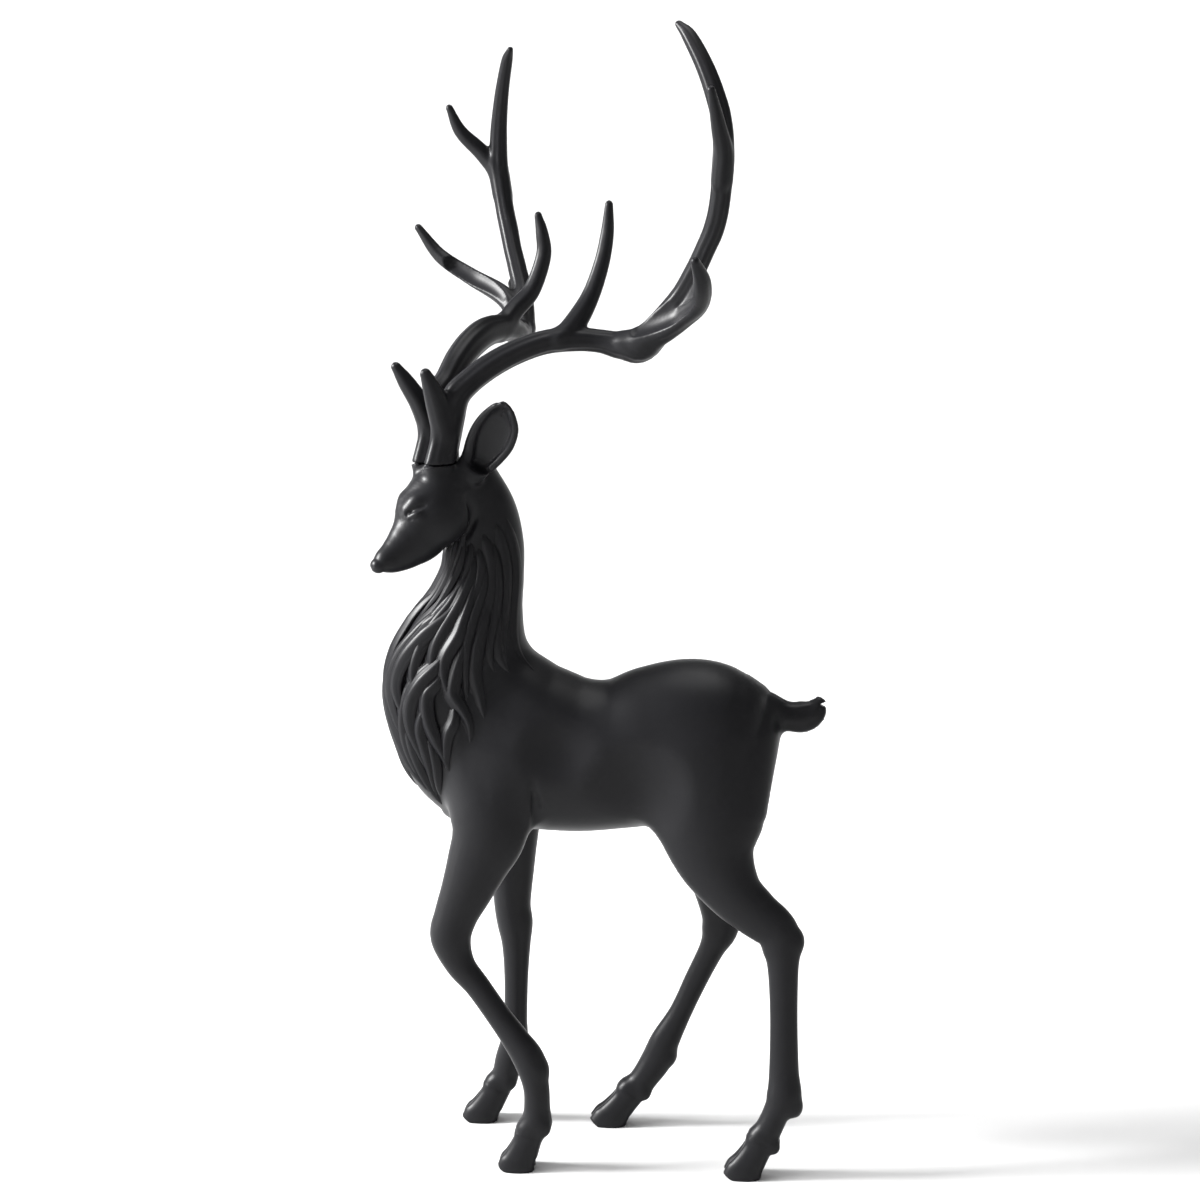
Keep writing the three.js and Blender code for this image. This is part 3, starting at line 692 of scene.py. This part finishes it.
# Each lock of the left side, from its root to its tip: half width in millimetres, how far it stands
# off the neck, and its course as [height, degrees round the neck from the throat line]
maneLocks = [
    (4.0, 0.9, [[246, 86], [238, 82], [228, 81], [221, 82], [212, 76], [205, 80], [197, 90], [190, 97]]),
    (3.8, 0.5, [[226, 100], [219, 96], [211, 93], [202, 92], [197, 93], [191, 103], [185, 108], [177, 106]]),
    (4.6, 1.3, [[238, 72], [229, 60], [221, 44], [210, 32], [200, 29], [192, 33], [184, 42]]),
    (4.4, 0.9, [[216, 80], [209, 70], [202, 57], [193, 47], [183, 44], [173, 48], [163, 48]]),
    (4.0, 0.7, [[209, 84], [202, 74], [197, 65], [187, 65], [179, 70], [172, 75], [165, 77]]),
    (3.6, 0.5, [[197, 68], [189, 60], [182, 54], [172, 55], [164, 51], [150, 37]]),
    (4.2, 0.6, [[222, 30], [212, 20], [200, 14], [187, 17], [175, 23], [162, 31], [152, 36]]),
    (3.2, 0.3, [[194, 96], [187, 93], [181, 84], [173, 78], [165, 74]]),
    (3.8, 0.5, [[243, 62], [234, 55], [225, 47], [215, 44], [206, 45], [197, 52], [189, 58]]),
    (3.2, 0.2, [[180, 62], [172, 63], [163, 58], [153, 46]]),
    (3.0, 0.2, [[186, 36], [176, 38], [166, 40], [156, 39], [148, 34]]),
    (4.6, -0.3, [[250, 98], [240, 96], [230, 92], [221, 94], [211, 100], [202, 106], [194, 108]]),
    (4.4, -0.2, [[238, 108], [228, 108], [217, 108], [207, 112], [197, 120], [187, 122]]),
    (4.0, -0.5, [[258, 112], [247, 114], [236, 118], [224, 122], [214, 126], [205, 134]]),
    (3.2, -0.4, [[232, 126], [222, 130], [213, 136], [205, 145]]),
    (4.4, 0.3, [[252, 80], [243, 73], [234, 68], [225, 62], [216, 60], [208, 64], [200, 70]]),
    (4.2, 0.4, [[231, 40], [221, 29], [211, 20], [201, 17], [191, 20], [181, 26], [172, 30]]),
    (3.6, 0.1, [[203, 44], [194, 40], [184, 34], [174, 32], [164, 33], [154, 28]]),
    (6.0, -2.0, [[262, 96], [250, 104], [238, 106], [226, 104], [214, 110], [202, 116], [192, 120]]),
    (5.6, -2.2, [[266, 120], [254, 126], [242, 130], [230, 134], [218, 138], [206, 144]]),
    (5.6, -1.8, [[256, 86], [246, 88], [236, 84], [226, 78], [218, 84], [208, 90]]),
    (5.6, -2.3, [[268, 140], [254, 146], [240, 150], [226, 152], [214, 156], [204, 160]]),
    (2.0, 0.3, [[266, 66], [258, 58], [250, 48], [242, 39], [234, 31]]),
    (2.2, 0.4, [[262, 50], [253, 42], [243, 32], [233, 24], [225, 18]]),
    (2.2, 0.5, [[260, 62], [251, 56], [242, 46], [233, 38], [226, 33]]),
    (2.2, 0.2, [[258, 74], [250, 70], [241, 61], [233, 52]]),
    (2.0, 0.3, [[262, 34], [252, 26], [242, 18], [232, 11], [222, 6]]),
]
# Locks on the throat line, which aren't mirrored
throatLocks = [
    (3.6, 0.9, [[238, 14], [226, 6], [212, 2], [198, 0], [186, 6], [174, 12]]),
    (3.0, 0.5, [[204, 8], [192, 6], [180, 10], [168, 20], [157, 26]]),
    (3.0, 0.3, [[190, -4], [178, -2], [166, 2], [154, 8]]),
    (4.0, 0.3, [[246, -6], [234, -8], [222, -5], [210, -2], [198, -6], [186, -10], [176, -8]]),
    (3.8, 0.5, [[226, 3], [214, -4], [202, -7], [190, -3], [178, 3], [166, 5], [156, 1]]),
    (3.6, 0.2, [[212, -12], [200, -14], [188, -10], [176, -4], [164, -6], [154, -10]]),
    (3.2, 0.2, [[256, 8], [246, 5], [236, 0], [226, -3], [216, 0]]),
]
maneLook = {
    "stepsAlong": 36, "stepsAround": 28, "grooves": 5.0, "grooveDepth": 0.13, "ridgeShift": 0.2,
    "thickness": 0.7, "lift": 0.4, "sunkEnds": 0.55, "farSideSway": 3.0, "seed": 5,
}


# A point of the skin at a height and an angle round the neck, and the direction out of it
def onNeck(shapes, courses):
    spine = smoothRows(neck, 8)
    order = np.argsort(spine[:, 2])
    height, degrees = courses[:, 0], np.radians(courses[:, 1])
    centre = np.stack([np.interp(height, spine[order, 2], spine[order, 0]), 0 * height, height], 1)
    out = np.stack([-np.cos(degrees), -np.sin(degrees), 0 * height], 1)
    near, far = np.full(len(courses), 3.0), np.full(len(courses), 48.0)
    for _ in range(14):
        middle = (near + far) / 2
        inside = fieldAt(shapes, centre + out * middle[:, None], 0.0, False) < 0
        near, far = np.where(inside, middle, near), np.where(inside, far, middle)
    points = centre + out * near[:, None]
    slope = np.stack([fieldAt(shapes, points + 0.5 * np.eye(3)[k], 0.0, False)
                      - fieldAt(shapes, points - 0.5 * np.eye(3)[k], 0.0, False) for k in range(3)], 1)
    return points, unit(slope)


# The guide lines of the locks: chains of points with their outward direction and half width
def maneGuides(shapes):
    rng = np.random.default_rng(maneLook["seed"])
    locks = [(wide, lift, rows) for wide, lift, rows in maneLocks + throatLocks]
    for wide, lift, rows in maneLocks:
        sway = rng.normal(0, maneLook["farSideSway"], 2)
        locks.append((wide, lift, [[z + sway[0] * 0.6, -(a + sway[1] * (z - 150) / 60)] for z, a in rows]))
    points, outs, halves, edges = [], [], [], []
    for wide, lift, rows in locks:
        courses = smoothRows([[*row, 0] for row in rows], 6)[:, :2]
        place = np.linspace(0, 1, len(courses))
        swell = np.sin(math.pi * np.clip(place, 0, 1) ** 0.8) ** 0.6
        skin, out = onNeck(shapes, courses)
        rise = (lift + maneLook["lift"]) * np.sin(math.pi * place ** 0.9) ** 0.7
        rise = rise - maneLook["sunkEnds"] * (1 - swell)
        start = len(points)
        points += list(skin + out * rise[:, None])
        outs += list(out)
        halves += list(wide * np.maximum(swell, 0.03))
        edges += [[start + i, start + i + 1] for i in range(len(courses) - 1)]
    mesh = bpy.data.meshes.new("maneGuides")
    mesh.from_pydata([(p - shift) * millimetre for p in points], edges, [])
    outward = mesh.attributes.new("outward", "FLOAT_VECTOR", "POINT")
    outward.data.foreach_set("vector", np.array(outs).ravel())
    half = mesh.attributes.new("halfWidth", "FLOAT", "POINT")
    half.data.foreach_set("value", np.array(halves) * millimetre)
    guides = bpy.data.objects.new("maneGuides", mesh)
    bpy.context.collection.objects.link(guides)
    return guides


# A small helper round a node tree: makes a node, sets its options and fills its sockets
def treeMaker(name):
    tree = bpy.data.node_groups.new(name, "GeometryNodeTree")

    def node(kind, inputs=None, **options):
        made = tree.nodes.new(kind)
        for key, value in options.items():
            setattr(made, key, value)
        for key, value in (inputs or {}).items():
            socket = made.inputs[key]
            if isinstance(value, bpy.types.NodeSocket):
                tree.links.new(value, socket)
            else:
                socket.default_value = value
        return made

    def maths(operation, a, b=0.0, c=0.0):
        return node("ShaderNodeMath", {0: a, 1: b, 2: c}, operation=operation).outputs[0]

    def vectors(operation, a, b=(0, 0, 0)):
        made = node("ShaderNodeVectorMath", {0: a}, operation=operation)
        if operation == "SCALE":
            if isinstance(b, bpy.types.NodeSocket):
                tree.links.new(b, made.inputs["Scale"])
            else:
                made.inputs["Scale"].default_value = b
        elif isinstance(b, bpy.types.NodeSocket):
            tree.links.new(b, made.inputs[1])
        return made.outputs[0]

    return tree, node, maths, vectors


# Sweeps a grooved tongue along every guide line
def maneTree():
    tree, node, maths, vectors = treeMaker("maneLocks")
    face = tree.interface
    face.new_socket("Geometry", in_out="INPUT", socket_type="NodeSocketGeometry")
    for label, kind in (("Steps Along", "Int"), ("Steps Around", "Int"), ("Grooves", "Float"),
                        ("Groove Depth", "Float"), ("Ridge Shift", "Float"), ("Thickness", "Float"),
                        ("Material", "Material")):
        face.new_socket(label, in_out="INPUT", socket_type="NodeSocket" + kind)
    face.new_socket("Geometry", in_out="OUTPUT", socket_type="NodeSocketGeometry")
    given = node("NodeGroupInput").outputs
    guides = node("GeometryNodeMeshToCurve", {"Mesh": given["Geometry"]}).outputs["Curve"]
    count = node("GeometryNodeAttributeDomainSize", {0: guides}, component="CURVE").outputs["Spline Count"]
    tongue = node("GeometryNodeMeshCylinder", {
        "Vertices": given["Steps Around"], "Side Segments": given["Steps Along"],
        "Radius": 1.0, "Depth": 1.0}).outputs["Mesh"]
    seeds = node("GeometryNodePoints", {"Count": count}).outputs[0]
    copies = node("GeometryNodeInstanceOnPoints", {"Points": seeds, "Instance": tongue}).outputs[0]
    numbered = node("GeometryNodeStoreNamedAttribute", {
        "Geometry": copies, "Name": "lock", "Value": node("GeometryNodeInputIndex").outputs[0]},
        data_type="INT", domain="INSTANCE").outputs[0]
    real = node("GeometryNodeRealizeInstances", {0: numbered}).outputs[0]
    lock = node("GeometryNodeInputNamedAttribute", {"Name": "lock"}, data_type="INT").outputs["Attribute"]
    place = node("ShaderNodeSeparateXYZ", {0: node("GeometryNodeInputPosition").outputs[0]}).outputs
    along = maths("ADD", place[2], 0.5)

    def sample(name, kind):
        value = node("GeometryNodeInputNamedAttribute", {"Name": name}, data_type=kind).outputs["Attribute"]
        return node("GeometryNodeSampleCurve", {"Curves": guides, "Value": value, "Factor": along,
                                                "Curve Index": lock}, data_type=kind, mode="FACTOR").outputs

    guide = sample("outward", "FLOAT_VECTOR")
    half = sample("halfWidth", "FLOAT")["Value"]
    across = vectors("NORMALIZE", vectors("CROSS_PRODUCT", guide["Tangent"], guide["Value"]))
    out = vectors("NORMALIZE", vectors("CROSS_PRODUCT", across, guide["Tangent"]))
    # The upper side is a ridge with straight flanks and fine grooves; the lower side stays round
    flank = maths("SUBTRACT", 1.0, maths("ABSOLUTE", maths("ADD", place[0], given["Ridge Shift"])))
    ridge = maths("MULTIPLY", maths("POWER", maths("MAXIMUM", flank, 0.0), 0.8), 1.15)
    wave = maths("COSINE", maths("MULTIPLY", place[0], maths("MULTIPLY", given["Grooves"], math.pi)))
    groove = maths("MULTIPLY", maths("ADD", wave, -1.0), given["Groove Depth"])
    carved = maths("MULTIPLY", maths("MULTIPLY", ridge, maths("ADD", groove, 1.0)), place[1])
    upper = maths("GREATER_THAN", place[1], 0.0)
    height = maths("ADD", maths("MULTIPLY", upper, carved),
                   maths("MULTIPLY", maths("SUBTRACT", 1.0, upper), place[1]))
    sideways = vectors("SCALE", across, maths("MULTIPLY", place[0], half))
    upwards = vectors("SCALE", out, maths("MULTIPLY", height, maths("MULTIPLY", half, given["Thickness"])))
    spot = vectors("ADD", guide["Position"], vectors("ADD", sideways, upwards))
    shaped = node("GeometryNodeSetPosition", {"Geometry": real, "Position": spot}).outputs[0]
    smooth = node("GeometryNodeSetShadeSmooth", {0: shaped}).outputs[0]
    painted = node("GeometryNodeSetMaterial", {"Geometry": smooth, "Material": given["Material"]}).outputs[0]
    node("NodeGroupOutput", {0: painted})
    return tree


# Runs a node tree on an object and keeps the result as a plain mesh under a new name
def grown(source, tree, values, name):
    modifier = source.modifiers.new("grow", "NODES")
    modifier.node_group = tree
    for item in tree.interface.items_tree:
        if item.in_out == "INPUT" and item.name in values:
            modifier[item.identifier] = values[item.name]
    bpy.context.view_layer.update()
    ready = source.evaluated_get(bpy.context.evaluated_depsgraph_get())
    mesh = bpy.data.meshes.new_from_object(ready)
    mesh.name = name
    for attribute in [a.name for a in mesh.attributes if a.name in ("lock", "outward", "halfWidth")]:
        mesh.attributes.remove(mesh.attributes[attribute])
    piece = bpy.data.objects.new(name, mesh)
    bpy.context.collection.objects.link(piece)
    bpy.data.objects.remove(source)
    print(name, "has", len(mesh.polygons), "faces")
    return piece


mane = grown(maneGuides(torsoShapes()), maneTree(), {
    "Steps Along": maneLook["stepsAlong"], "Steps Around": maneLook["stepsAround"],
    "Grooves": maneLook["grooves"], "Groove Depth": maneLook["grooveDepth"],
    "Ridge Shift": maneLook["ridgeShift"], "Thickness": maneLook["thickness"], "Material": resin}, "mane")
dress(mane)


antlerLook = {
    "cell": 0.75, "quickCell": 1.2,
    "beamFlutes": (7, 0.35, 0.4), "tineFlutes": (5, 0.25, 1),  # how many, how deep, turned by
    "palmAcross": (0.1, 0.79, -0.61),
    # The flat side of the outer tine: where it looks, and its cutter's half width and course
    "facetFaces": (0.84, -0.16, 0.52), "facetHalf": 7.0, "facetFromAxis": 1.4,
    "facetStart": 3, "facetUntil": 0.62, "facetRunIn": 3.0, "facetRunInSteps": 4,
}


# A cutter beside the outer tine, which runs in from further away at its start
def facetShape(outerTine, side):
    course = smoothRows(outerTine, 4)
    start, half = antlerLook["facetStart"], antlerLook["facetHalf"]
    rows = []
    for k in range(start, int(antlerLook["facetUntil"] * len(course))):
        runIn = antlerLook["facetRunIn"] * max(0, 1 - (k - start) / antlerLook["facetRunInSteps"])
        away = half + antlerLook["facetFromAxis"] + runIn
        rows.append([*(course[k][:3] + np.array(antlerLook["facetFaces"]) * away), half, half])
    return tube(fromCrown(rows, side), across=headLeft, blend=0.5, carve=True)


def makeAntler(name, side):
    own = tines["left" if side > 0 else "right"]
    forward, left, up = antlerLook["palmAcross"]
    shapes = [
        tube(fromCrown(beam if side > 0 else rightBeam, side), across=headLeft, blend=1, cap=1,
             flutes=antlerLook["beamFlutes"]),
        tube(fromCrown(palm, side), across=headDirection(forward, left * side, up), blend=1.4),
    ]
    for stations in own:
        shapes.append(tube(fromCrown(stations, side), across=headLeft, blend=2.2, cap=1.2,
                           flutes=antlerLook["tineFlutes"]))
    shapes.append(facetShape(own[2], side))
    cell = antlerLook["cell"]
    return sculpt(name, shapes, cell, seatHeight + seatGap)


for name, side, node in (("leftAntler", 1, "left_antler"), ("rightAntler", -1, "right_antler")):
    dress(makeAntler(name, side), node)


cameraLook = {
    "azimuth": 5, "elevation": 10, "distance": 0.945, "target": [2.0, 0, 232.9],
    "sensor": 36, "focalPixels": 2345, "photoPixels": 1200,
}


def addCamera():
    azimuth, elevation = math.radians(cameraLook["azimuth"]), math.radians(cameraLook["elevation"])
    target = (np.array(cameraLook["target"]) - shift) * millimetre
    ahead = np.array([-math.sin(azimuth) * math.cos(elevation),
                      math.cos(azimuth) * math.cos(elevation), -math.sin(elevation)])
    data = bpy.data.cameras.new("camera")
    data.sensor_width = cameraLook["sensor"]
    data.lens = cameraLook["sensor"] * cameraLook["focalPixels"] / cameraLook["photoPixels"]
    camera = bpy.data.objects.new("camera", data)
    bpy.context.collection.objects.link(camera)
    camera.location = target - cameraLook["distance"] * ahead
    camera.rotation_euler = (math.radians(90 - cameraLook["elevation"]), 0, azimuth)
    bpy.context.scene.camera = camera


# A shallow bowl: flat in the middle, with a rim that rises all round, as [radius, height] in metres
floorLook = {
    "profile": [[0.0, 0.0], [1.2, 0.0], [1.7, 0.05], [2.1, 0.22], [2.4, 0.6], [2.5, 1.3]],
    "steps": 4, "middle": 0.05, "sides": 96, "colour": (0.54, 0.54, 0.54, 1), "roughness": 0.9,
}


def addFloor():
    rows = smoothRows(floorLook["profile"], floorLook["steps"])
    rings = [row for row in rows if row[0] > floorLook["middle"]]
    count = floorLook["sides"]
    points = [[0, 0, 0]]
    faces = []
    for radius, height in rings:
        for k in range(count):
            turn = 2 * math.pi * k / count
            points.append([radius * math.cos(turn), radius * math.sin(turn), max(height, 0)])
    for k in range(count):
        after = (k + 1) % count
        faces.append([0, 1 + k, 1 + after])
        for r in range(len(rings) - 1):
            a = 1 + r * count
            b = a + count
            faces.append([a + k, b + k, b + after, a + after])
    mesh = bpy.data.meshes.new("floor")
    mesh.from_pydata(points, [], faces)
    mesh.polygons.foreach_set("use_smooth", np.ones(len(mesh.polygons), bool))
    floor = bpy.data.objects.new("floor", mesh)
    bpy.context.collection.objects.link(floor)
    paint = bpy.data.materials.new("paleFloor")
    paint.use_nodes = True
    shader = paint.node_tree.nodes["Principled BSDF"]
    shader.inputs["Base Color"].default_value = floorLook["colour"]
    shader.inputs["Roughness"].default_value = floorLook["roughness"]
    mesh.materials.append(paint)


studioLook = {
    "worldColour": (1, 1, 1, 1), "worldStrength": 0.22, "viewTransform": "Standard",
    "lights": {
        "key": {"place": (-1.5, -0.2, 0.95), "aim": (0, 0, 0.24), "size": 0.45, "watts": 112},
        "front": {"place": (-1.4, -0.55, 0.7), "aim": (-0.06, 0, 0.28), "size": 0.6, "watts": 24},
        "top": {"place": (0.1, 0.0, 1.9), "aim": (0, 0, 0.2), "size": 1.3, "watts": 22},
        "backdrop": {"place": (0.2, 0.9, 1.5), "aim": (0.3, 2.3, 0.4), "size": 1.2, "watts": 30},
    },
}


def addLight(name, place, aim, size, watts):
    data = bpy.data.lights.new(name, "AREA")
    data.shape = "DISK"
    data.size = size
    data.energy = watts
    light = bpy.data.objects.new(name, data)
    bpy.context.collection.objects.link(light)
    light.location = place
    direction = np.array(aim) - np.array(place)
    light.rotation_euler = Vector(direction).to_track_quat("-Z", "Y").to_euler()


def addStudio():
    world = bpy.data.worlds.new("studio")
    world.use_nodes = True
    background = world.node_tree.nodes["Background"]
    background.inputs["Color"].default_value = studioLook["worldColour"]
    background.inputs["Strength"].default_value = studioLook["worldStrength"]
    bpy.context.scene.world = world
    bpy.context.scene.view_settings.view_transform = studioLook["viewTransform"]
    for name, light in studioLook["lights"].items():
        addLight(name, **light)


addCamera()
addFloor()
addStudio()
print("the camera, the floor and", len(studioLook["lights"]), "lights are set")
